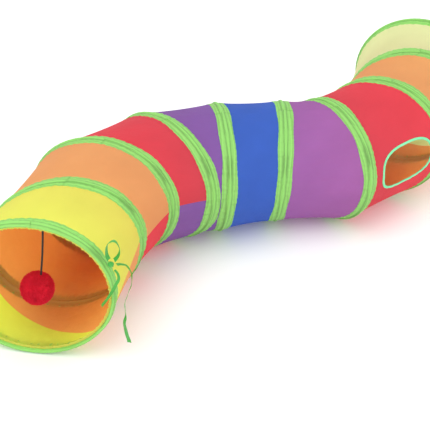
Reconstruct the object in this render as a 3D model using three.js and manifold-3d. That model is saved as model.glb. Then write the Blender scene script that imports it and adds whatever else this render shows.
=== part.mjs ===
// Collapsible S-shaped play tunnel for cats: ten sprung wire hoops, each inside a
// sewn band, joined by nine coloured cloth panels. It stands on the flats of its bands.
// Millimetres, +Z up. The front mouth faces -Y, and the origin is at the bottom
// centre of the bounding box, free cords left out.

import * as THREE from 'three';
import Module from 'manifold-3d';

const wasm = await Module();
wasm.setup();

// Driving dimensions. The radii are to the centre of each hoop's wire, and the hoops get
// smaller towards the middle of the S.
const hoopRadii = [127, 124, 121, 117, 113, 108, 113, 119, 123, 127];
const hoopFlats = 24; // flats round each hoop, one of them on the floor
const gap = 0.3; // between pieces that touch
const wire = { diameter: 2.4, sides: 6 };
// Heights are measured outward from the centre of the wire.
const band = { width: 16, underside: -1.4, edge: 0.6, ridge: 2.6, ridgeWidth: 3.2, channel: 1.6 };
const cloth = { inner: -0.8, outer: 0.2, clear: 1.2, waist: 2.5, columns: hoopFlats, rows: 2 };
const hem = { inner: -9, outer: band.underside - gap, front: -7, back: -5.4 };

// From one hoop's centre to the next: the distance, the turn of the heading in
// degrees (positive to the left), and how far the line between the two centres
// leans off the mean heading. The under panel is the next colour along, sewn in
// low down on the inside of a bend.
const segments = [
  { colour: 'yellow', length: 122, turn: 10, lean: -19, under: 'orange' },
  { colour: 'orange', length: 138, turn: -17, lean: -18, under: 'red' },
  { colour: 'red', length: 130, turn: -29, lean: -23, under: 'purple' },
  { colour: 'purple', length: 103, turn: -39, lean: -5 },
  { colour: 'blue', length: 116, turn: -8, lean: 13 },
  { colour: 'purple', length: 94, turn: 34, lean: -14 },
  { colour: 'red', length: 129, turn: 30, lean: -14, under: 'purple' },
  { colour: 'orange', length: 121, turn: 17, lean: -17, under: 'red' },
  { colour: 'cream', length: 114, turn: -12, lean: -4, under: 'orange' },
];
const middleSegment = 4; // the S is the same from either end about this one
// The angles from the top of the upper and lower edges of the first three under panels,
// each at the panel's first hoop and at its next one. The last three have the same ones,
// turned half round.
const underEdges = [
  { upper: [104, 80], lower: [114, 270] },
  { upper: [88, 86], lower: [140, 150] },
  { upper: [85, 84], lower: [140, 150] },
];

// The oval hole in the side of panel_7, as a share of the way along that panel.
const peekHole = { panel: 6, along: 0.51, angle: 81, halfLength: 64, halfHeight: 42 };
const binding = { width: 5, outer: 1.3, inner: -2.1, points: 28, squareness: 2.8 };

const pompom = { radius: 27.5, x: 8, z: 131 };
const elastic = { diameter: 3, anchorX: 16.5, loopRadius: 3, loopWire: 0.8 };
const ribbon = { width: 7, knotRadius: 5, knot: [118, -2, 195.4] };
const freeCords = ['pompom_elastic', 'ribbon_bow', 'ribbon_long_tail', 'ribbon_short_tail'];

const colours = {
  yellow: 0xe6da62,
  orange: 0xf0a464,
  red: 0xdb4a50,
  purple: 0x9a5fae,
  blue: 0x3c66c4,
  cream: 0xe6e2a4,
  green: 0x8fd45c,
  mint: 0x7fe0a8,
  crimson: 0xc8202c,
  black: 0x161616,
  steel: 0xb8bcc0,
};

const degrees = THREE.MathUtils.degToRad;
const hoops = layOutHoops();
const tunnel = new THREE.Group();

function layOutHoops() {
  const standing = (x, y, heading, radius) => (
    { x, y, z: (radius + band.ridge) * Math.cos(Math.PI / hoopFlats), heading, radius });
  const placed = [standing(0, 0, 90, hoopRadii[0])];
  segments.forEach(({ length, turn, lean }, i) => {
    const { x, y, heading } = placed[i];
    const along = degrees(heading + turn / 2 + lean);
    const [nextX, nextY] = [x + length * Math.cos(along), y + length * Math.sin(along)];
    placed.push(standing(nextX, nextY, heading + turn, hoopRadii[i + 1]));
  });
  return placed;
}

function add(name, geometry, colour, finish = {}) {
  const { roughness = 0.75, metalness = 0 } = finish;
  const material = new THREE.MeshStandardMaterial({ color: colours[colour], roughness, metalness });
  const mesh = new THREE.Mesh(geometry, material);
  mesh.name = name;
  tunnel.add(mesh);
  return mesh;
}

// Stands a piece that was turned about its own Y axis at a hoop, Y along the tunnel.
function standAt(mesh, hoop) {
  mesh.position.set(hoop.x, hoop.y, hoop.z);
  mesh.rotation.z = degrees(hoop.heading - 90);
}

// A ring whose profile is a list of [along the tunnel, outward from the wire's centre].
function ringGeometry(radius, profile) {
  const points = profile.map(([along, out]) => new THREE.Vector2(radius + out, along));
  points.push(points[0].clone());
  return new THREE.LatheGeometry(points, hoopFlats, Math.PI / hoopFlats);
}

function wireGeometry(radius) {
  const corner = (_, i) => {
    const a = (i / wire.sides) * 2 * Math.PI;
    return [(Math.sin(a) * wire.diameter) / 2, (Math.cos(a) * wire.diameter) / 2];
  };
  return ringGeometry(radius, Array.from({ length: wire.sides }, corner));
}

// A flat band with a ridge over the wire, which lies in a channel open to the inside.
function bandGeometry(radius) {
  const edge = band.width / 2;
  const ridge = band.ridgeWidth / 2;
  const roof = wire.diameter / 2 + gap;
  return ringGeometry(radius, [
    [-edge, band.edge], [-ridge, band.ridge], [ridge, band.ridge], [edge, band.edge],
    [edge, band.underside], [band.channel, band.underside], [band.channel, roof],
    [-band.channel, roof], [-band.channel, band.underside], [-edge, band.underside],
  ]);
}

function addHoops() {
  hoops.forEach((hoop, i) => {
    const steel = wireGeometry(hoop.radius);
    standAt(add(`hoop_${i + 1}_wire`, steel, 'steel', { roughness: 0.35, metalness: 0.9 }), hoop);
    standAt(add(`hoop_${i + 1}_band`, bandGeometry(hoop.radius), 'green'), hoop);
  });
}

// A point near a hoop: the angle runs from the top towards the right-hand side.
function hoopPoint(hoop, angle, out, along) {
  const a = degrees(angle);
  const radius = hoop.radius + out;
  const across = radius * Math.sin(a);
  const heading = degrees(hoop.heading);
  return new THREE.Vector3(
    hoop.x + across * Math.sin(heading) + along * Math.cos(heading),
    hoop.y - across * Math.cos(heading) + along * Math.sin(heading),
    hoop.z + radius * Math.cos(a),
  );
}

// The middle of panel i's cloth, at a share of the way from its first hoop's band to the
// next one's. Halfway along, the cloth sinks in by the depth of the waist.
function clothMiddle(i, angle, share) {
  const edge = band.width / 2 + cloth.clear;
  const sunk = -cloth.waist * 4 * share * (1 - share);
  const first = hoopPoint(hoops[i], angle, sunk, edge);
  return first.lerp(hoopPoint(hoops[i + 1], angle, sunk, -edge), share);
}

// A point at a height off the middle of the cloth.
function clothPoint(i, angle, share, out) {
  const [turn, step] = [0.5, 0.01];
  const round = clothMiddle(i, angle + turn, share).sub(clothMiddle(i, angle - turn, share));
  const along = clothMiddle(i, angle, share + step).sub(clothMiddle(i, angle, share - step));
  const normal = round.cross(along).normalize();
  return clothMiddle(i, angle, share).addScaledVector(normal, out);
}

// The cloth of one segment as a closed sheet, between two angles at each share of the
// way. A sheet that goes past its ends, and is thick, serves to cut the cloth along a seam.
function sheetGeometry(i, limits, { columns, rows, inner, outer, past = 0 }) {
  const [low, high] = limits(0);
  const whole = high - low >= 360;
  const lines = whole ? columns : columns + 1;
  const positions = [];
  for (const out of [inner, outer]) {
    for (let s = 0; s < lines; s++) {
      for (let t = 0; t <= rows; t++) {
        const share = THREE.MathUtils.lerp(-past, 1 + past, t / rows);
        const angle = THREE.MathUtils.lerp(...limits(share), s / columns);
        positions.push(...clothPoint(i, angle, share, out).toArray());
      }
    }
  }
  const at = (layer, s, t) => (layer * lines + (s % lines)) * (rows + 1) + t;
  const index = [];
  const quad = (a, b, c, d) => index.push(a, b, c, a, c, d);
  for (let s = 0; s < columns; s++) {
    for (let t = 0; t < rows; t++) {
      quad(at(1, s, t), at(1, s + 1, t), at(1, s + 1, t + 1), at(1, s, t + 1));
      quad(at(0, s, t), at(0, s, t + 1), at(0, s + 1, t + 1), at(0, s + 1, t));
    }
    quad(at(0, s, 0), at(0, s + 1, 0), at(1, s + 1, 0), at(1, s, 0));
    quad(at(0, s, rows), at(1, s, rows), at(1, s + 1, rows), at(0, s + 1, rows));
  }
  for (let t = 0; !whole && t < rows; t++) {
    quad(at(0, 0, t), at(1, 0, t), at(1, 0, t + 1), at(0, 0, t + 1));
    quad(at(0, columns, t), at(0, columns, t + 1), at(1, columns, t + 1), at(1, columns, t));
  }
  return solidGeometry(positions, index);
}

function solidGeometry(positions, index) {
  const geometry = new THREE.BufferGeometry();
  geometry.setAttribute('position', new THREE.Float32BufferAttribute(positions, 3));
  geometry.setIndex(index);
  geometry.computeVertexNormals();
  return geometry;
}

// The angles that an under panel takes up. A positive clearance shrinks it.
function underLimits(i, clearance) {
  const turned = i > middleSegment;
  const { upper, lower } = underEdges[turned ? segments.length - 1 - i : i];
  return (share) => {
    const way = turned ? 1 - share : share;
    const from = THREE.MathUtils.lerp(...upper, way) + clearance;
    const to = THREE.MathUtils.lerp(...lower, way) - clearance;
    return turned ? [-to, -from] : [from, to];
  };
}

function addPanels() {
  const thick = { columns: 20, rows: 12, inner: -6, outer: 6, past: 0.05 };
  segments.forEach(({ colour, under }, i) => {
    const tube = sheetGeometry(i, () => [-180, 180], cloth);
    let panel = toManifold(tube);
    if (under) {
      const clearance = THREE.MathUtils.radToDeg(gap / hoops[i].radius) / 2;
      const around = toManifold(sheetGeometry(i, underLimits(i, -clearance), thick));
      const within = toManifold(sheetGeometry(i, underLimits(i, clearance), thick));
      add(`under_panel_${i + 1}_${under}`, fromManifold(panel.intersect(within)), under);
      panel = panel.subtract(around);
    }
    if (i === peekHole.panel) panel = panel.subtract(peekPlug());
    add(`panel_${i + 1}_${colour}`, fromManifold(panel), colour);
  });
}

// A closed loop round the hole, set out from its edge, at a height off the cloth.
function peekLoop(offset, out) {
  const { panel, along, angle, halfLength, halfHeight } = peekHole;
  const length = clothPoint(panel, angle, 0, 0).distanceTo(clothPoint(panel, angle, 1, 0));
  const radius = (hoops[panel].radius + hoops[panel + 1].radius) / 2;
  const power = (value) => Math.sign(value) * Math.abs(value) ** (2 / binding.squareness);
  return Array.from({ length: binding.points }, (_, k) => {
    const a = (k / binding.points) * 2 * Math.PI;
    const share = along + (power(Math.cos(a)) * (halfLength + offset)) / length;
    const turn = THREE.MathUtils.radToDeg((power(Math.sin(a)) * (halfHeight + offset)) / radius);
    return clothPoint(panel, angle + turn, share, out);
  });
}

function toManifold(geometry) {
  return new wasm.Manifold(new wasm.Mesh({
    numProp: 3,
    vertProperties: new Float32Array(geometry.getAttribute('position').array),
    triVerts: new Uint32Array(geometry.getIndex().array),
  }));
}

function fromManifold(solid) {
  const mesh = solid.getMesh();
  return solidGeometry(Array.from(mesh.vertProperties), Array.from(mesh.triVerts));
}

// What is cut from the cloth for the hole: its loop, taken well past both faces.
function peekPlug() {
  const reach = 14;
  const loops = [peekLoop(gap, -reach), peekLoop(gap, reach)];
  const count = binding.points;
  const centre = (loop) => loop.reduce((sum, p) => sum.add(p), new THREE.Vector3()).divideScalar(count);
  const points = [...loops[0], ...loops[1], centre(loops[0]), centre(loops[1])];
  const index = [];
  for (let k = 0; k < count; k++) {
    const next = (k + 1) % count;
    index.push(k, count + next, next, k, count + k, count + next);
    index.push(2 * count, k, next, 2 * count + 1, count + next, count + k);
  }
  return toManifold(solidGeometry(points.flatMap((p) => p.toArray()), index));
}

function addBinding() {
  const corners = [
    peekLoop(0, binding.inner), peekLoop(0, binding.outer),
    peekLoop(-binding.width, binding.outer), peekLoop(-binding.width, binding.inner),
  ];
  const count = binding.points;
  const index = [];
  corners.forEach((_, c) => {
    const d = (c + 1) % corners.length;
    for (let k = 0; k < count; k++) {
      const next = (k + 1) % count;
      const [a, b] = [c * count, d * count];
      index.push(a + k, b + next, a + next, a + k, b + k, b + next);
    }
  });
  const positions = corners.flat().flatMap((p) => p.toArray());
  add('peek_hole_binding', solidGeometry(positions, index), 'mint');
}

// The lip of cloth that shows inside a mouth's band.
function addHems() {
  const profile = (sign) => {
    const { inner, outer, front, back } = hem;
    const corners = [[front, inner], [front, outer], [back, outer], [back, inner]];
    return sign > 0 ? corners : corners.map(([along, out]) => [-along, out]).reverse();
  };
  const [first, last] = [hoops[0], hoops.at(-1)];
  standAt(add('front_hem_yellow', ringGeometry(first.radius, profile(1)), 'yellow'), first);
  standAt(add('rear_hem_cream', ringGeometry(last.radius, profile(-1)), 'cream'), last);
}

function polygon(radius, sides) {
  const corner = (_, k) => {
    const a = (k / sides) * 2 * Math.PI;
    return new THREE.Vector2(radius * Math.cos(a), radius * Math.sin(a));
  };
  return new THREE.Shape(Array.from({ length: sides }, corner));
}

function cordGeometry(route, diameter, steps) {
  const path = new THREE.CatmullRomCurve3(route.map((p) => new THREE.Vector3(...p)));
  return new THREE.ExtrudeGeometry(polygon(diameter / 2, 8), { steps, extrudePath: path });
}

// The pom-pom hangs just inside the front mouth, from a loop sewn to the band.
function addPompom() {
  const [mouth] = hoops;
  const loopOut = mouth.radius + band.underside - gap - elastic.loopRadius - elastic.loopWire;
  const loopZ = mouth.z + Math.sqrt(loopOut ** 2 - elastic.anchorX ** 2);
  const loop = new THREE.TorusGeometry(elastic.loopRadius, elastic.loopWire, 6, 10);
  const ring = add('elastic_loop', loop, 'black');
  ring.rotation.y = Math.PI / 2;
  ring.position.set(elastic.anchorX, 0, loopZ);
  const top = loopZ - elastic.loopRadius - elastic.loopWire - gap;
  const bottom = pompom.z + pompom.radius + gap;
  const route = [
    [elastic.anchorX, 0, top],
    [16.4, 0, 225],
    [15.8, 0, 200],
    [14.8, 0, 178],
    [13.6, 0, bottom],
  ];
  add('pompom_elastic', cordGeometry(route, elastic.diameter, 16), 'black');
  const ball = add('pompom', new THREE.IcosahedronGeometry(pompom.radius, 2), 'crimson', { roughness: 1 });
  ball.position.set(pompom.x, 0, pompom.z);
}

// A tied ribbon on the right of the front mouth: a knot, one bow loop and two tails.
function addRibbonTie() {
  const knot = add('ribbon_knot', new THREE.SphereGeometry(ribbon.knotRadius, 10, 8), 'green');
  knot.position.set(...ribbon.knot);
  const bow = [
    [114.8, -2, 203.8], [111, -2, 214], [110.5, -2, 226], [114, -2, 236], [120.5, -2, 240],
    [127, -2, 235], [130, -2, 224], [128, -2, 212], [122.4, -2, 203.6],
  ];
  const longTail = [
    [126.6, -3, 197], [134, -4, 200], [142, -5, 198.5], [148, -6, 190], [150.5, -6, 178],
    [150, -6, 163], [146, -6, 146], [142.5, -6, 130], [142.5, -6, 115], [144.5, -6, 102],
    [143, -6, 88], [145, -6, 73], [149, -6, 58], [152, -6, 47],
  ];
  const shortTail = [
    [124.6, -8.6, 191], [130.5, -11.5, 186], [131.5, -13, 177], [127.5, -13, 165],
    [122, -13, 150], [115.5, -13, 136], [108, -13, 121],
  ];
  add('ribbon_bow', cordGeometry(bow, ribbon.width, 20), 'green');
  add('ribbon_long_tail', cordGeometry(longTail, ribbon.width, 24), 'green');
  add('ribbon_short_tail', cordGeometry(shortTail, ribbon.width, 12), 'green');
}

addHoops();
addPanels();
addHems();
addBinding();
addPompom();
addRibbonTie();

// The origin is set by the tunnel itself, without its free cords.
tunnel.updateMatrixWorld(true);
const box = new THREE.Box3();
for (const mesh of tunnel.children) {
  if (!freeCords.includes(mesh.name)) box.expandByObject(mesh, true);
}
const middle = box.getCenter(new THREE.Vector3());
tunnel.position.set(-middle.x, -middle.y, -box.min.z);
tunnel.updateMatrixWorld(true);

export default tunnel;
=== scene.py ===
"""Looks of the collapsible cat tunnel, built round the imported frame. Metres, +Z up."""

import math

import bpy
import numpy as np
from mathutils import Matrix, Vector


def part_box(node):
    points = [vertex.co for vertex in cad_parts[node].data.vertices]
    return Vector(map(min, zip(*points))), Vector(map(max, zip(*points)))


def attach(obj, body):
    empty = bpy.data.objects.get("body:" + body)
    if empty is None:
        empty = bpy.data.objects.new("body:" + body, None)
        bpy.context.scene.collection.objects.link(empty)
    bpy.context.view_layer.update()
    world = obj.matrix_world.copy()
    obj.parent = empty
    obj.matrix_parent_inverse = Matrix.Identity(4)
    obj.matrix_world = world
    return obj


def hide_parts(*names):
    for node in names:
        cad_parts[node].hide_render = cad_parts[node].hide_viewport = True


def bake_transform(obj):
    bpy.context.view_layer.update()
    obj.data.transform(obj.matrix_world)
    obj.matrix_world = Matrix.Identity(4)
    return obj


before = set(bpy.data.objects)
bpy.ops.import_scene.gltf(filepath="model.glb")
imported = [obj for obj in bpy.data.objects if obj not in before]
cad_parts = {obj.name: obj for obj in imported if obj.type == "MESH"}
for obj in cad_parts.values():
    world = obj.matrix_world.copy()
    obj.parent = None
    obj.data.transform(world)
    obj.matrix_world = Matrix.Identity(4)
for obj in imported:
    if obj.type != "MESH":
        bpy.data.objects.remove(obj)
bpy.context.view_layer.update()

MM = 0.001
UP = np.array([0.0, 0.0, 1.0])
HOOPS = 10
RIDGE = 2.6 * MM  # top of a band above the middle of its wire
WIRE = 1.2 * MM  # radius of the wire
BAND = 14 * MM  # from the wire to the edge of its band
BAND_START = 1.4 * MM  # where the flat halves of a band begin, under its ridge
GATHER = 0.22 * MM  # height of the gathers in a band
WAIST = 2.5 * MM  # how far the cloth sinks in halfway between two hoops
SINK = 1.6 * MM  # how far the cloth passes under the wire
SINK_WIDTH = 3 * MM
# Angles of the upper and lower edges of the first three under panels, from the top, at the
# first hoop and the next. The last three have the same ones, turned half round.
UNDER_EDGES = [((104, 80), (114, 270)), ((88, 86), (140, 150)), ((85, 84), (140, 150))]
MIDDLE_PANEL = 4
PEEK = {"panel": 6, "along": 0.51, "angle": math.radians(81), "length": 64 * MM, "height": 42 * MM}
PEEK_POWER = 2.8
CAD_BAND_EDGE = 9.2 * MM  # where the CAD cloth starts beside a hoop
COLUMNS = 320  # of cloth round a hoop
ROWS = 48  # of cloth from hoop to hoop
ROUND = 720  # points round a band
THREAD = 0.5 * MM  # pitch of the cloth's weave
RIB = 0.9 * MM  # pitch of the tapes' ribs
ELASTIC = 3 * MM  # diameter of the pom-pom's cord
KNOT_GAP = 0.3 * MM  # between the cord's ends and what they are tied to

PANELS = ["yellow", "orange", "red", "purple", "blue", "purple", "red", "orange", "cream"]
LOOKS = {5: "lit_purple"}  # panel 6 gets a lighter copy of the purple: painted light, as it is lit more than panel 4
UNDER = {0: "orange", 1: "red", 2: "purple", 6: "purple", 7: "red", 8: "orange"}
COLOURS = {
    "yellow": (0.94, 0.96, 0.46),
    "orange": (0.97, 0.75, 0.49),
    "red": (0.97, 0.33, 0.39),
    "purple": (0.65, 0.45, 0.79),
    # Painted light: the purple made lighter for panel 6, which is lit more; the cloth is the same
    # purple.
    "lit_purple": (0.77, 0.49, 0.80),
    "blue": (0.30, 0.49, 0.90),
    "cream": (0.93, 0.96, 0.76),
    "green": (0.60, 0.87, 0.44),
    "mint": (0.48, 0.90, 0.66),
    "crimson": (1.0, 0.15, 0.24),
    "black": (0.03, 0.03, 0.03),
    "steel": (0.70, 0.71, 0.73),
    "ribbon": (0.26, 0.66, 0.25),
}


# The frame: where each hoop stands, read from its CAD wire.


def stand_of(number):
    """Centre of a hoop, and the unit normal of its plane."""
    points = np.array([v.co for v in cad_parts[f"hoop_{number}_wire"].data.vertices])
    centre = (points.min(0) + points.max(0)) / 2
    normal = np.linalg.svd(points - centre, full_matrices=False)[2][-1]
    return centre, normal


def read_hoops():
    centres, normals = zip(*(stand_of(k + 1) for k in range(HOOPS)))
    centres, normals = np.array(centres), np.array(normals)
    onward = np.gradient(centres, axis=0)
    normals *= np.sign((normals * onward).sum(1))[:, None]
    return centres, normals, np.cross(normals, UP)


CENTRE, AHEAD, RIGHT = read_hoops()
RADIUS = CENTRE[:, 2] - RIDGE  # to the middle of each wire, so that the ridge meets the floor
ORIGIN = CENTRE[0] * [1, 1, 0]  # of the routes below: the floor under the front hoop


# Materials.


def linear(colour):
    return [c / 12.92 if c <= 0.04045 else ((c + 0.055) / 1.055) ** 2.4 for c in colour] + [1.0]


class Nodes:
    """Short calls to build a material's node tree."""

    def __init__(self, name):
        self.material = bpy.data.materials.new(name)
        self.material.use_nodes = True
        self.tree = self.material.node_tree
        self.shader = self.tree.nodes["Principled BSDF"]
        self.output = self.tree.nodes["Material Output"]

    def add(self, kind, **values):
        node = self.tree.nodes.new(kind)
        for key, value in values.items():
            if key in node.inputs:
                node.inputs[key].default_value = value
            else:
                setattr(node, key, value)
        return node

    def link(self, source, target):
        self.tree.links.new(source, target)

    def noise(self, vector, scale, detail=3.0):
        node = self.add("ShaderNodeTexNoise", Scale=scale, Detail=detail)
        self.link(vector, node.inputs["Vector"])
        return node.outputs["Fac"]

    def threads(self, vector, direction, pitch):
        scale = 2 * math.pi / (20 * pitch)
        node = self.add("ShaderNodeTexWave", Scale=scale, bands_direction=direction)
        self.link(vector, node.inputs["Vector"])
        return node.outputs["Fac"]

    def math(self, operation, a, b):
        node = self.add("ShaderNodeMath", operation=operation)
        for socket, value in zip(node.inputs, (a, b)):
            if isinstance(value, (int, float)):
                socket.default_value = value
            else:
                self.link(value, socket)
        return node.outputs["Value"]

    def mix(self, factor, dark, light):
        node = self.add("ShaderNodeMix", data_type="RGBA")
        self.link(factor, node.inputs["Factor"])
        node.inputs[6].default_value = dark
        node.inputs[7].default_value = light
        return node.outputs[2]

    def bump(self, height, distance, after=None):
        node = self.add("ShaderNodeBump", Strength=1.0, Distance=distance)
        self.link(height, node.inputs["Height"])
        if after:
            self.link(after, node.inputs["Normal"])
        return node.outputs["Normal"]

    def coordinates(self):
        return self.add("ShaderNodeAttribute", attribute_name="cloth").outputs["Vector"]


def shaded(colour, factor):
    return linear([min(1.0, c * factor) for c in colour])


def let_through(n, colour, glow):
    """Finishes a material with the light that passes through it, in a deeper shade."""
    through = n.add("ShaderNodeBsdfTranslucent")
    through.inputs["Color"].default_value = linear([c**2.1 for c in colour])
    both = n.add("ShaderNodeMixShader", Fac=glow)
    n.link(n.shader.outputs[0], both.inputs[1])
    n.link(through.outputs[0], both.inputs[2])
    n.link(both.outputs[0], n.output.inputs["Surface"])
    return n.material


def cloth_material(name, colour):
    """Thin plain-woven cloth, which lets some light through."""
    n = Nodes(name)
    where = n.coordinates()
    weave = n.math("MULTIPLY", n.threads(where, "X", THREAD), n.threads(where, "Y", THREAD))
    crumple = n.noise(where, 55, 4)
    tone = n.mix(n.noise(where, 14, 2), shaded(colour, 0.93), shaded(colour, 1.05))
    n.link(tone, n.shader.inputs["Base Color"])
    fine = n.bump(weave, 0.08 * MM)
    n.link(n.bump(crumple, 1.6 * MM, fine), n.shader.inputs["Normal"])
    n.shader.inputs["Roughness"].default_value = 0.62
    n.shader.inputs["Specular IOR Level"].default_value = 0.35
    return let_through(n, colour, 0.52)


def tape_material(name, colour, roughness=0.5):
    """Ribbed tape: fine ribs across it, a little gathered."""
    n = Nodes(name)
    where = n.coordinates()
    tone = n.mix(n.noise(where, 45, 3), shaded(colour, 0.86), shaded(colour, 1.08))
    n.link(tone, n.shader.inputs["Base Color"])
    fine = n.bump(n.threads(where, "X", RIB), 0.1 * MM)
    n.link(n.bump(n.noise(where, 140, 3), 1.2 * MM, fine), n.shader.inputs["Normal"])
    n.shader.inputs["Roughness"].default_value = roughness
    return n.material


def band_material():
    """Tape gathered over the wire: lengthwise creases, with painted shade beside the ridge and
    along the line of stitches.
    """
    n = Nodes("green_band")
    where = n.coordinates()
    parts = n.add("ShaderNodeSeparateXYZ")
    n.link(where, parts.inputs[0])
    across = n.math("DIVIDE", n.math("ABSOLUTE", parts.outputs["Y"], 0.0), BAND)
    stretched = n.add("ShaderNodeVectorMath", operation="MULTIPLY")
    n.link(where, stretched.inputs[0])
    stretched.inputs[1].default_value = (1, 10, 1)
    creases = n.noise(stretched.outputs[0], 14, 3)
    wander = n.math("ADD", across, n.math("MULTIPLY", n.math("SUBTRACT", creases, 0.5), 0.9))
    ramp = n.add("ShaderNodeValToRGB")
    n.link(wander, ramp.inputs["Fac"])
    # Tone across the band: the darker stops are painted shade at the foot of the ridge and along
    # the line of stitches, moved about by the creases.
    painted_shade_stops = [(0.0, 1.06), (0.16, 1.04), (0.26, 0.80), (0.36, 0.96), (0.64, 1.08), (0.78, 0.92),
             (1.0, 1.06)]
    while len(ramp.color_ramp.elements) < len(painted_shade_stops):
        ramp.color_ramp.elements.new(0.5)
    for element, (place, tone) in zip(ramp.color_ramp.elements, painted_shade_stops):
        element.position = place
        element.color = shaded(COLOURS["green"], tone)
    n.link(ramp.outputs["Color"], n.shader.inputs["Base Color"])
    fine = n.bump(n.threads(where, "X", RIB), 0.08 * MM)
    n.link(n.bump(creases, 2.5 * MM, fine), n.shader.inputs["Normal"])
    n.shader.inputs["Roughness"].default_value = 0.5
    return let_through(n, COLOURS["green"], 0.3)


def pile_material():
    """The pom-pom's yarn, lighter and darker in patches."""
    n = Nodes("crimson_pile")
    crimson = COLOURS["crimson"]
    tips = n.mix(n.noise(n.coordinates(), 3.0, 2), shaded(crimson, 0.9), shaded(crimson, 1.25))
    n.link(tips, n.shader.inputs["Base Color"])
    n.shader.inputs["Roughness"].default_value = 0.9
    n.shader.inputs["Specular IOR Level"].default_value = 0.1
    return n.material


def steel_material():
    """Drawn spring wire, finely streaked."""
    n = Nodes("spring_steel")
    streaks = n.noise(n.coordinates(), 400, 2)
    tone = n.mix(streaks, shaded(COLOURS["steel"], 0.85), shaded(COLOURS["steel"], 1.05))
    n.link(tone, n.shader.inputs["Base Color"])
    n.link(n.bump(streaks, 0.02 * MM), n.shader.inputs["Normal"])
    n.shader.inputs["Metallic"].default_value = 1.0
    n.shader.inputs["Roughness"].default_value = 0.32
    return n.material


CLOTHS = ("yellow", "orange", "red", "purple", "lit_purple", "blue", "cream")
MATERIALS = {c: cloth_material(f"{c}_cloth", COLOURS[c]) for c in CLOTHS}
MATERIALS["green"] = band_material()
MATERIALS["mint"] = tape_material("mint_binding", COLOURS["mint"])
MATERIALS["ribbon"] = tape_material("green_ribbon", COLOURS["ribbon"], 0.35)
MATERIALS["black"] = tape_material("black_elastic", COLOURS["black"], 0.6)
MATERIALS["crimson"] = pile_material()
MATERIALS["steel"] = steel_material()


# Mesh helpers.


def add_piece(name, points, faces, look, cloth=None):
    """A smooth mesh piece. cloth gives each point's place on the flat cloth, in metres."""
    points = np.asarray(points, float).reshape(-1, 3)
    mesh = bpy.data.meshes.new(name)
    mesh.from_pydata(points.tolist(), [], [list(face) for face in faces])
    mesh.polygons.foreach_set("use_smooth", [len(face) == 4 for face in faces])
    place = mesh.attributes.new("cloth", "FLOAT_VECTOR", "POINT")
    flat = points if cloth is None else np.asarray(cloth, float).reshape(-1, 3)
    place.data.foreach_set("vector", flat.astype(np.float32).ravel())
    mesh.materials.append(MATERIALS[look])
    mesh.validate()
    piece = bpy.data.objects.new(name, mesh)
    bpy.context.scene.collection.objects.link(piece)
    return piece


def grid_faces(across, along, closed_across=False, closed_along=False, flip=False):
    """Quads of a grid of points laid out as [across][along]."""
    a, b = np.meshgrid(
        np.arange(across if closed_across else across - 1),
        np.arange(along if closed_along else along - 1),
        indexing="ij",
    )
    next_a, next_b = (a + 1) % across, (b + 1) % along
    corners = [(a, b), (next_a, b), (next_a, next_b), (a, next_b)]
    faces = np.stack([i * along + j for i, j in corners], -1).reshape(-1, 4)
    return faces[:, ::-1] if flip else faces


def smooth_line(points, per_span=8):
    """A Catmull-Rom curve through points."""
    p = np.asarray(points, float)
    p = np.vstack([2 * p[0] - p[1], p, 2 * p[-1] - p[-2]])
    t = np.linspace(0, 1, per_span, endpoint=False)[:, None]
    spans = []
    for a, b, c, d in zip(p, p[1:], p[2:], p[3:]):
        spans.append(0.5 * (2 * b + (c - a) * t + (2 * a - 5 * b + 4 * c - d) * t**2
                            + (3 * b - a - 3 * c + d) * t**3))
    return np.vstack([*spans, p[-2:-1]])


def length_of(line):
    return float(np.linalg.norm(np.diff(line, axis=0), axis=1).sum())


def unit(v):
    return v / np.maximum(np.linalg.norm(v, axis=-1, keepdims=True), 1e-12)


def route(points):
    """A route given in millimetres from the floor under the front hoop."""
    return ORIGIN + np.array(points, float) * MM


# The camera, which comes first, with the cords.

# The target is in metres from the floor under the front hoop, and the angles are in degrees.
VIEW = {"target": (0.2548, 0.404, 0.0), "azimuth": -1.16, "elevation": 37.18, "distance": 2.236,
        "roll": 5.87, "fov": 19.98}


def add_camera():
    camera = bpy.data.objects.new("camera", bpy.data.cameras.new("camera"))
    bpy.context.scene.collection.objects.link(camera)
    a, e = math.radians(VIEW["azimuth"]), math.radians(VIEW["elevation"])
    target = Vector(ORIGIN) + Vector(VIEW["target"])
    back = Vector((-math.sin(a) * math.cos(e), -math.cos(a) * math.cos(e), math.sin(e)))
    turn = (-back).to_track_quat("-Z", "Y").to_matrix().to_4x4()
    roll = Matrix.Rotation(math.radians(VIEW["roll"]), 4, "Z")
    camera.matrix_world = Matrix.Translation(target + back * VIEW["distance"]) @ turn @ roll
    camera.data.angle = math.radians(VIEW["fov"])
    camera.data.clip_end = 50
    bpy.context.scene.camera = camera


# Cords: the pom-pom's elastic and the ribbon tie.


def tube(line, radius, sides=12):
    """Points of a round tube along a line, as [line][side]."""
    tangent = unit(np.gradient(line, axis=0))
    side = [unit(np.cross(tangent[0], [0.3, 1.0, 0.2]))]
    for t in tangent[1:]:
        side.append(unit(side[-1] - t * (side[-1] @ t)))
    side = np.array(side)
    other = np.cross(tangent, side)
    turn = np.linspace(0, 2 * math.pi, sides, endpoint=False)
    section = np.cos(turn)[:, None] * side[:, None] + np.sin(turn)[:, None] * other[:, None]
    return line[:, None] + section * radius


def add_elastic():
    """The cord from its loop down to the pom-pom."""
    top = (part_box("elastic_loop")[0].z - KNOT_GAP) / MM
    bottom = (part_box("pompom")[1].z + KNOT_GAP) / MM
    points = [[16.5, 0, top], [16.4, 0, 225], [15.8, 0, 200], [14.8, 0, 178], [13.6, 0, bottom]]
    line = smooth_line(route(points))
    points = tube(line, ELASTIC / 2)
    cord = add_piece("pompom_cord", points, grid_faces(len(line), 12, closed_along=True), "black")
    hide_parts("pompom_elastic")
    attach(cord, "pompom")


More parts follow.
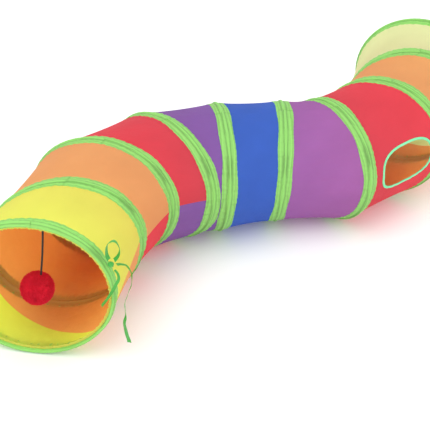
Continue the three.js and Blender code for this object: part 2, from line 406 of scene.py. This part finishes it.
BOW = [[114.8, -2, 203.8], [111, -2, 214], [110.5, -2, 226], [114, -2, 236], [120.5, -2, 240],
       [127, -2, 235], [130, -2, 224], [128, -2, 212], [122.4, -2, 203.6]]
LONG_TAIL = [[126.6, -3, 197], [134, -4, 200], [142, -5, 198.5], [148, -6, 190], [150.5, -6, 178],
             [150, -6, 163], [146, -6, 146], [142.5, -6, 130], [142.5, -6, 115], [144.5, -6, 102],
             [143, -6, 88], [145, -6, 73], [149, -6, 58], [152, -6, 47]]
SHORT_TAIL = [[124.6, -8.6, 191], [130.5, -11.5, 186], [131.5, -13, 177], [127.5, -13, 165],
              [122, -13, 150], [115.5, -13, 136], [108, -13, 121]]


def add_ribbon(name, node, points, width, twist):
    """A flat ribbon along a route, whose width turns by twist(share of the way)."""
    line = smooth_line(route(points), 10)
    share = np.linspace(0, 1, len(line))
    tangent = unit(np.gradient(line, axis=0))
    level = unit(np.cross(tangent, [0.0, 1.0, 0.0]))
    deep = np.cross(tangent, level)
    angle = twist(share)[:, None]
    wide = level * np.cos(angle) + deep * np.sin(angle)
    thick = np.cross(wide, tangent)
    across = np.linspace(-0.5, 0.5, 9)
    cup = 0.5 * MM * (1 - (2 * across) ** 2)
    ripple = 0.25 * MM * np.sin(share * length_of(line) / (3.2 * MM))
    top = (line[:, None] + wide[:, None] * across[None, :, None] * width
           + thick[:, None] * (cup[None, :] + ripple[:, None])[..., None])
    bottom = top - thick[:, None] * 0.3 * MM
    points = np.concatenate([top, bottom[:, ::-1]], axis=1)
    flat = np.zeros_like(points)
    flat[..., 0] = share[:, None] * length_of(line)
    flat[..., 1] = np.concatenate([across, across[::-1]]) * width
    count = points.shape[1]
    faces = grid_faces(len(line), count, closed_along=True).tolist()
    faces += [list(range(count))[::-1], [(len(line) - 1) * count + k for k in range(count)]]
    ribbon = add_piece(name, points, faces, "ribbon", flat)
    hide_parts(node)
    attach(ribbon, "hoop_1")


def globe(across, along):
    """Directions over a sphere, as [longitude][latitude], with their angles."""
    lat, lon = np.meshgrid(np.linspace(0.02, math.pi - 0.02, along),
                           np.linspace(0, 2 * math.pi, across, endpoint=False))
    directions = np.stack([np.sin(lat) * np.cos(lon), np.sin(lat) * np.sin(lon), np.cos(lat)], -1)
    return directions, lat, lon


def add_knot():
    """The knot: a ribbon wound round itself, as a ball with wrapped folds."""
    low, high = (np.array(c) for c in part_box("ribbon_knot"))
    centre, size = (low + high) / 2, (high - low) / 2
    ball, lat, lon = globe(56, 40)
    wraps = 0.10 * np.sin(7 * (ball[..., 0] * 0.8 + ball[..., 2] * 0.6) + 1.5 * ball[..., 1])
    pinch = 0.06 * np.sin(5 * lon + 2 * lat)
    points = centre + ball * size * (0.93 + wraps * 0.7 + pinch * 0.5)[..., None]
    faces = grid_faces(56, 40, closed_across=True, flip=True)
    knot = add_piece("ribbon_knot_tied", points, faces, "ribbon", ball * 5 * MM)
    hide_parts("ribbon_knot")
    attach(knot, "hoop_1")


add_camera()
add_elastic()
add_knot()
add_ribbon("ribbon_bow_loop", "ribbon_bow", BOW, 7 * MM,
           lambda s: 0.9 + 0.5 * np.sin(math.pi * s))
add_ribbon("ribbon_tail_long", "ribbon_long_tail", LONG_TAIL, 7 * MM,
           lambda s: 0.35 + 1.3 * np.sin(3.2 * s) ** 2)
add_ribbon("ribbon_tail_short", "ribbon_short_tail", SHORT_TAIL, 5 * MM,
           lambda s: 0.2 + 0.9 * s)


# The cloth surface of each segment.


def ring(k, angle, out, along):
    """Points near hoop k: the angle runs from the top to the right, out from the wire's middle."""
    radius = RADIUS[k] + out
    return (CENTRE[k] + (radius * np.sin(angle))[..., None] * RIGHT[k]
            + (radius * np.cos(angle))[..., None] * UP + np.asarray(along)[..., None] * AHEAD[k])


def girth(i):
    """Mean radius of panel i."""
    return (RADIUS[i] + RADIUS[i + 1]) / 2


def spacing(i, angle):
    """How far apart hoops i and i + 1 are at an angle."""
    zero = np.zeros_like(angle)
    return np.linalg.norm(ring(i + 1, angle, zero, zero) - ring(i, angle, zero, zero), axis=-1)


def from_hoop(i, angle, share):
    """Distance from the nearer of the panel's two hoops."""
    return np.minimum(share, 1 - share) * spacing(i, angle)


def resting(i, angle, share):
    """The cloth without its folds, from the wire of hoop i to that of hoop i + 1."""
    under = SINK * np.exp(-((from_hoop(i, angle, share) / SINK_WIDTH) ** 2))
    out = -WAIST * 4 * share * (1 - share) - under
    zero = np.zeros_like(out)
    first, second = ring(i, angle, out, zero), ring(i + 1, angle, out, zero)
    return first + (second - first) * share[..., None]


def outward(i, angle, share):
    """Unit normals of the cloth, away from the inside."""
    turn, step = 0.01, 0.004
    round_ = resting(i, angle + turn, share) - resting(i, angle - turn, share)
    along = resting(i, angle, share + step) - resting(i, angle, share - step)
    return unit(np.cross(round_, along))


def folds(i, angle, share):
    """Height of the cloth's folds: long ones between the hoops, puckers beside the bands."""
    rng = np.random.default_rng(100 + i)
    away = from_hoop(i, angle, share)
    slack = np.clip(1.4 - spacing(i, angle) / 0.13, 0.25, 1.1)
    loose = 1 - np.exp(-((away / (14 * MM)) ** 2))
    height = np.zeros_like(angle)
    for waves in (5, 8, 13, 19, 29):
        phase, lean, size = rng.uniform(0, 6.28), rng.uniform(-4, 4), rng.uniform(0.5, 1.0)
        height += size * 7 / (waves + 5) * np.sin(waves * angle + lean * share + phase)
    height *= 0.9 * MM * slack * loose
    near = np.exp(-(((away - 12 * MM) / (9 * MM)) ** 2))
    for waves in (47, 76):
        height += 0.32 * MM * near * np.sin(waves * angle + rng.uniform(0, 6.28) + 3 * share)
    return height


def cloth_point(i, angle, share, lift=0.0):
    """Points of the folded cloth, or at a height off it."""
    lifted = folds(i, angle, share) + lift
    return resting(i, angle, share) + outward(i, angle, share) * lifted[..., None]


def follow(piece):
    """Bakes the piece's transform into its points."""
    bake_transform(piece)


def under_edges(i, share):
    """Angles of the two edges of an under panel. Past the middle the S is turned half round."""
    turned = i > MIDDLE_PANEL
    way = 1 - share if turned else share
    upper, lower = np.radians(UNDER_EDGES[HOOPS - 2 - i if turned else i])
    return upper[0] + (upper[1] - upper[0]) * way, lower[0] + (lower[1] - lower[0]) * way


def sector(i, share, under):
    """First and last angle of a panel or under panel at each share of the way."""
    if i not in UNDER:
        return np.zeros_like(share), np.full_like(share, 2 * math.pi)
    low, high = under_edges(i, share)
    if not under:
        low, high = high, low + 2 * math.pi
    return (-high, -low) if i > MIDDLE_PANEL else (low, high)


def cloth_grid(i, under):
    """The angle and the share of the way of each point of a panel, as [column][row]."""
    columns = int(COLUMNS * (0.35 if under else 1))
    share = np.linspace(0, 1, ROWS + 1)
    low, high = sector(i, share, under)
    across = np.linspace(0, 1, columns + 1)[:, None]
    return low + (high - low) * across, np.broadcast_to(share, (columns + 1, ROWS + 1)).copy()


def peek_place():
    """Share, angle and cloth length at the middle of the peek hole."""
    angle = np.array(PEEK["angle"])
    length = float(spacing(PEEK["panel"], angle))
    share = (CAD_BAND_EDGE + PEEK["along"] * (length - 2 * CAD_BAND_EDGE)) / length
    return share, float(angle), length


def peek_distance(angle, share):
    """1 on the hole's edge, less inside it, and the offsets from its middle."""
    middle, turn, length = peek_place()
    x = (share - middle) * length
    y = (np.mod(angle - turn + math.pi, 2 * math.pi) - math.pi) * girth(PEEK["panel"])
    far = np.abs(x / PEEK["length"]) ** PEEK_POWER + np.abs(y / PEEK["height"]) ** PEEK_POWER
    return far ** (1 / PEEK_POWER), x, y


def cut_peek_hole(angle, share, faces):
    """Drops the faces in the hole and draws the edge that is left onto the hole's outline."""
    _, _, length = peek_place()
    far, x, y = (v.ravel() for v in peek_distance(angle, share))
    kept = faces[far[faces].mean(1) >= 1]
    dropped = faces[far[faces].mean(1) < 1]
    edge = np.intersect1d(kept, dropped)
    pull = 1 / np.maximum(far[edge], 1e-6) - 1
    angle, share = angle.ravel().copy(), share.ravel().copy()
    share[edge] += x[edge] * pull / length
    angle[edge] += y[edge] * pull / girth(PEEK["panel"])
    used = np.unique(kept)
    renumber = np.zeros(len(angle), int)
    renumber[used] = np.arange(len(used))
    return angle[used], share[used], renumber[kept]


def add_cloth(i, under=False):
    """Panel i, or the patch of the next colour that is sewn in under it."""
    colour = UNDER[i] if under else PANELS[i]
    name = f"{'under_' if under else ''}cloth_{i + 1}_{colour}"
    node = f"{'under_' if under else ''}panel_{i + 1}_{colour}"
    angle, share = cloth_grid(i, under)
    faces = grid_faces(*angle.shape)
    smooth = spacing(i, angle)
    area = float((smooth * np.ptp(angle, axis=0)).mean() * girth(i))
    if i == PEEK["panel"] and not under:
        area -= 3.6 * PEEK["length"] * PEEK["height"]
        angle, share, faces = cut_peek_hole(angle, share, faces)
    flat = np.stack([angle * girth(i), share * spacing(i, angle), np.zeros_like(angle)], -1)
    look = colour if under else LOOKS.get(i, colour)
    cloth = add_piece(name, cloth_point(i, angle, share), faces, look, flat)
    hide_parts(node)
    follow(cloth)


# Hoops: wire, ridge and the two halves of each band.


def band_height(x):
    """Height of the band above the wire's middle, x to either side of it."""
    return 0.5 * MM + (RIDGE - 0.5 * MM) * np.exp(-((x / (2.6 * MM)) ** 2))


def gathers(k, angle):
    """Small, quick ups and downs round a band, from -1 to 1."""
    rng = np.random.default_rng(300 + k)
    height = np.zeros_like(angle)
    for waves in (53, 88, 131):
        height += np.sin(waves * angle + rng.uniform(0, 6.28))
    return height / 3


def unevenness(k, angle):
    """Slow changes in a band's width, from -1 to 1."""
    rng = np.random.default_rng(400 + k)
    return sum(np.sin(waves * angle + rng.uniform(0, 6.28)) for waves in (2, 5, 9)) / 3


def add_wire(k):
    turn = np.linspace(0, 2 * math.pi, 192, endpoint=False)
    section = np.linspace(0, 2 * math.pi, 12, endpoint=False)
    angle, around = np.meshgrid(turn, section, indexing="ij")
    points = ring(k, angle, WIRE * np.cos(around), WIRE * np.sin(around))
    faces = grid_faces(192, 12, closed_across=True, closed_along=True)
    wire = add_piece(f"hoop_{k + 1}_round_wire", points, faces, "steel")
    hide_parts(f"hoop_{k + 1}_wire")
    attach(wire, f"hoop_{k + 1}")


def add_ridge(k):
    """The middle of a band, raised over its wire."""
    turn = np.linspace(0, 2 * math.pi, ROUND, endpoint=False)
    x = np.linspace(-2.4, 2.4, 11) * MM
    angle, along = np.meshgrid(turn, x, indexing="ij")
    dent = GATHER * (gathers(k, angle) - 1)
    points = ring(k, angle, band_height(along) + dent, along)
    flat = np.stack([angle * RADIUS[k], along, np.zeros_like(angle)], -1)
    faces = grid_faces(*angle.shape, closed_across=True)
    ridge = add_piece(f"hoop_{k + 1}_band_ridge", points, faces, "green", flat)
    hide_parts(f"hoop_{k + 1}_band")
    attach(ridge, f"hoop_{k + 1}")


def add_half_band(k, side):
    """The half of a band that lies on the next panel (side 1) or the last one (side -1)."""
    i = k if side > 0 else k - 1
    turn = np.linspace(0, 2 * math.pi, ROUND, endpoint=False)
    t = np.append(np.linspace(0, 1, 11), 1.0)
    angle, t = np.meshgrid(turn, t, indexing="ij")
    reach = BAND * (1 + 0.14 * unevenness(k + 20 * side, angle))
    reach = np.minimum(reach, 0.47 * spacing(i, angle)) + 0.15 * MM * gathers(k + 20 * side, angle)
    x = BAND_START + (reach - BAND_START) * t
    share = x / spacing(i, angle)
    share = share if side > 0 else 1 - share
    lift = band_height(x) + SINK * np.exp(-((x / SINK_WIDTH) ** 2))
    lift += GATHER * gathers(k + 20 * side, angle) * np.sin(math.pi * t)
    lift -= 0.25 * MM * np.exp(-(((t - 0.8) / 0.07) ** 2))  # the line of stitches
    lift[:, -1] = 0.05 * MM  # the edge, down on the cloth
    points = cloth_point(i, angle, share, lift)
    flat = np.stack([angle * RADIUS[k], x, np.zeros_like(angle)], -1)
    faces = grid_faces(*angle.shape, closed_across=True, flip=side < 0)
    word = "rear" if side > 0 else "front"
    half = add_piece(f"hoop_{k + 1}_band_{word}_half", points, faces, "green", flat)
    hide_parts(f"hoop_{k + 1}_band")
    follow(half)


def add_mouth(k, side, colour, node):
    """The outer half of an end band, turned in at the mouth, and the puckered lip inside it."""
    turn = np.linspace(0, 2 * math.pi, ROUND, endpoint=False)
    t = np.linspace(0, 1, 19)
    angle, t = np.meshgrid(turn, t, indexing="ij")
    turned = 1.8 * MM + 1.7 * MM * (1 - np.cos(angle))  # how far back it goes, most at the floor
    over, under = np.clip(t * 2, 0, 1), np.clip(t * 2 - 1, 0, 1)
    curl = np.sin(0.5 * math.pi * np.clip(under * 2, 0, 1))
    x = BAND_START + (6.1 + 0.3 * gathers(k + 50, angle)) * MM * over - turned * under**1.6
    out = band_height(x) * (1 - under) - 1.0 * MM * over**3 - 3.2 * MM * curl - 0.4 * MM * under
    out += 0.2 * MM * gathers(k + 51, angle) * over
    flat = np.stack([angle * RADIUS[k], x - (out - out[:, :1]) * under, np.zeros_like(angle)], -1)
    edge = add_piece(f"hoop_{k + 1}_band_mouth_half", ring(k, angle, out, side * x),
                     grid_faces(*angle.shape, closed_across=True, flip=side < 0), "green", flat)
    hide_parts(f"hoop_{k + 1}_band")
    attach(edge, f"hoop_{k + 1}")
    depth = 4.2 * MM * (1 + 0.3 * gathers(k + 52, angle))
    out = -4.2 * MM - depth * t
    x = 6.9 * MM - turned - 0.6 * MM * t**2
    x += 0.5 * MM * gathers(k + 53, angle) * np.sin(math.pi * t)
    flat = np.stack([angle * RADIUS[k], depth * t, np.zeros_like(angle)], -1)
    lip = add_piece(f"{node}_lip", ring(k, angle, out, side * x),
                    grid_faces(*angle.shape, closed_across=True, flip=side > 0), colour, flat)
    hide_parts(node)
    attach(lip, f"hoop_{k + 1}")


def add_binding():
    """Tape folded over the edge of the peek hole."""
    middle, turn, length = peek_place()
    around = np.linspace(0, 2 * math.pi, 160, endpoint=False)
    section = np.linspace(0, 2 * math.pi, 14, endpoint=False)
    a, s = np.meshgrid(around, section, indexing="ij")
    c, d = np.cos(a), np.sin(a)
    inset = -1.6 * MM + 2.4 * MM * np.cos(s)
    x = np.sign(c) * np.abs(c) ** (2 / PEEK_POWER) * (PEEK["length"] + inset)
    y = np.sign(d) * np.abs(d) ** (2 / PEEK_POWER) * (PEEK["height"] + inset)
    share = middle + x / length
    angle = turn + y / girth(PEEK["panel"])
    lift = 1.5 * MM * np.sin(s) * (1 + 0.12 * np.sin(41 * a)) + 0.25 * MM * np.sin(23 * a)
    flat = np.stack([a * PEEK["length"], s * 2 * MM, np.zeros_like(a)], -1)
    faces = grid_faces(160, 14, closed_across=True, closed_along=True, flip=True)
    points = cloth_point(PEEK["panel"], angle, share, lift)
    binding = add_piece("peek_hole_tape", points, faces, "mint", flat)
    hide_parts("peek_hole_binding")
    follow(binding)


# The pom-pom.


def add_pompom():
    """A lumpy core with a pile of fine tapered strands."""
    low, high = (np.array(c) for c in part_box("pompom"))
    centre, radius = (low + high) / 2, (high - low).min() / 2
    rng = np.random.default_rng(7)
    ball, _, _ = globe(96, 60)
    bx, by, bz = (ball[..., k] for k in range(3))
    lumps = 0.03 * np.sin(6 * bx + 1) * np.sin(7 * by) * np.sin(5 * bz + 2)
    core = add_piece("pompom_ball", centre + ball * radius * (0.86 + lumps)[..., None],
                     grid_faces(96, 60, closed_across=True, flip=True), "crimson", ball)
    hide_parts("pompom")
    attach(core, "pompom")
    count, sides, steps = 9000, 3, 3
    root = unit(rng.normal(size=(count, 3)))
    tip = unit(root + rng.normal(scale=0.16, size=(count, 3)))
    reach = rng.uniform(0.94, 1.02, count)[:, None]
    side = unit(np.cross(root, rng.normal(size=(count, 3))))
    other = np.cross(root, side)
    rings = []
    for t in np.linspace(0, 1, steps):
        middle = centre + radius * ((1 - t) * 0.82 * root + t * reach * tip)
        thick = 0.42 * MM * (1 - 0.75 * t)
        for turn in np.linspace(0, 2 * math.pi, sides, endpoint=False):
            rings.append(middle + thick * (math.cos(turn) * side + math.sin(turn) * other))
    points = np.stack(rings, 1)
    one = grid_faces(steps, sides, closed_along=True)
    faces = (one[None] + (np.arange(count) * steps * sides)[:, None, None]).reshape(-1, 4)
    flat = np.repeat(tip[:, None], steps * sides, axis=1)
    pile = add_piece("pompom_pile", points, faces, "crimson", flat)
    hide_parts("pompom")
    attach(pile, "pompom")


def add_loop():
    """The sewn loop that the pom-pom's elastic hangs from."""
    low, high = (np.array(c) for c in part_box("elastic_loop"))
    centre = (low + high) / 2
    thick = (high - low)[0] / 2
    radius = (high - low)[2] / 2 - thick
    turn = np.linspace(0, 2 * math.pi, 48, endpoint=False)
    # It faces out of the mouth, because panel 1's cloth comes close behind it when folded.
    line = centre + radius * np.stack([0.75 * np.cos(turn), np.zeros(48), np.sin(turn)], -1)
    outer = unit(line - centre)
    section = np.linspace(0, 2 * math.pi, 10, endpoint=False)
    points = (line[:, None] + thick * (np.cos(section)[None, :, None] * outer[:, None]
              + np.sin(section)[None, :, None] * np.array([0, 1.0, 0])))
    faces = grid_faces(48, 10, closed_across=True, closed_along=True)
    loop = add_piece("pompom_loop", points, faces, "black")
    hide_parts("elastic_loop")
    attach(loop, "elastic_loop")


for hoop in range(HOOPS):
    add_wire(hoop)
    add_ridge(hoop)
    if hoop < HOOPS - 1:
        add_half_band(hoop, 1)
    if hoop > 0:
        add_half_band(hoop, -1)
for segment in range(HOOPS - 1):
    add_cloth(segment)
    if segment in UNDER:
        add_cloth(segment, under=True)
add_mouth(0, -1, "yellow", "front_hem_yellow")
add_mouth(HOOPS - 1, 1, "cream", "rear_hem_cream")
add_binding()
add_loop()
add_pompom()


# The stage: a plain pale floor and soft studio light.


def add_stage():
    half = 6.0
    mesh = bpy.data.meshes.new("floor")
    corners = [(-half, -half, 0), (half, -half, 0), (half, half, 0), (-half, half, 0)]
    mesh.from_pydata(corners, [], [(0, 1, 2, 3)])
    n = Nodes("pale_floor")
    n.shader.inputs["Base Color"].default_value = (0.97, 0.97, 0.97, 1)
    n.shader.inputs["Roughness"].default_value = 0.9
    mesh.materials.append(n.material)
    floor = bpy.data.objects.new("floor", mesh)
    floor.location.z = -0.2 * MM
    bpy.context.scene.collection.objects.link(floor)


def add_light(name, place, size, power):
    light = bpy.data.objects.new(name, bpy.data.lights.new(name, "AREA"))
    light.data.shape = "DISK"
    light.data.size = size
    light.data.energy = power
    light.location = place
    light.rotation_euler = (-Vector(place)).to_track_quat("-Z", "Y").to_euler()
    bpy.context.scene.collection.objects.link(light)


def add_world():
    world = bpy.data.worlds.new("studio")
    world.use_nodes = True
    world.node_tree.nodes["Background"].inputs["Color"].default_value = (1, 1, 1, 1)
    world.node_tree.nodes["Background"].inputs["Strength"].default_value = 1.1
    bpy.context.scene.world = world


add_stage()
add_light("key", (-1.2, -1.4, 3.0), 2.6, 36)
add_light("fill", (2.0, -1.8, 2.0), 2.4, 15)
add_world()
bpy.context.scene.view_settings.view_transform = "Standard"
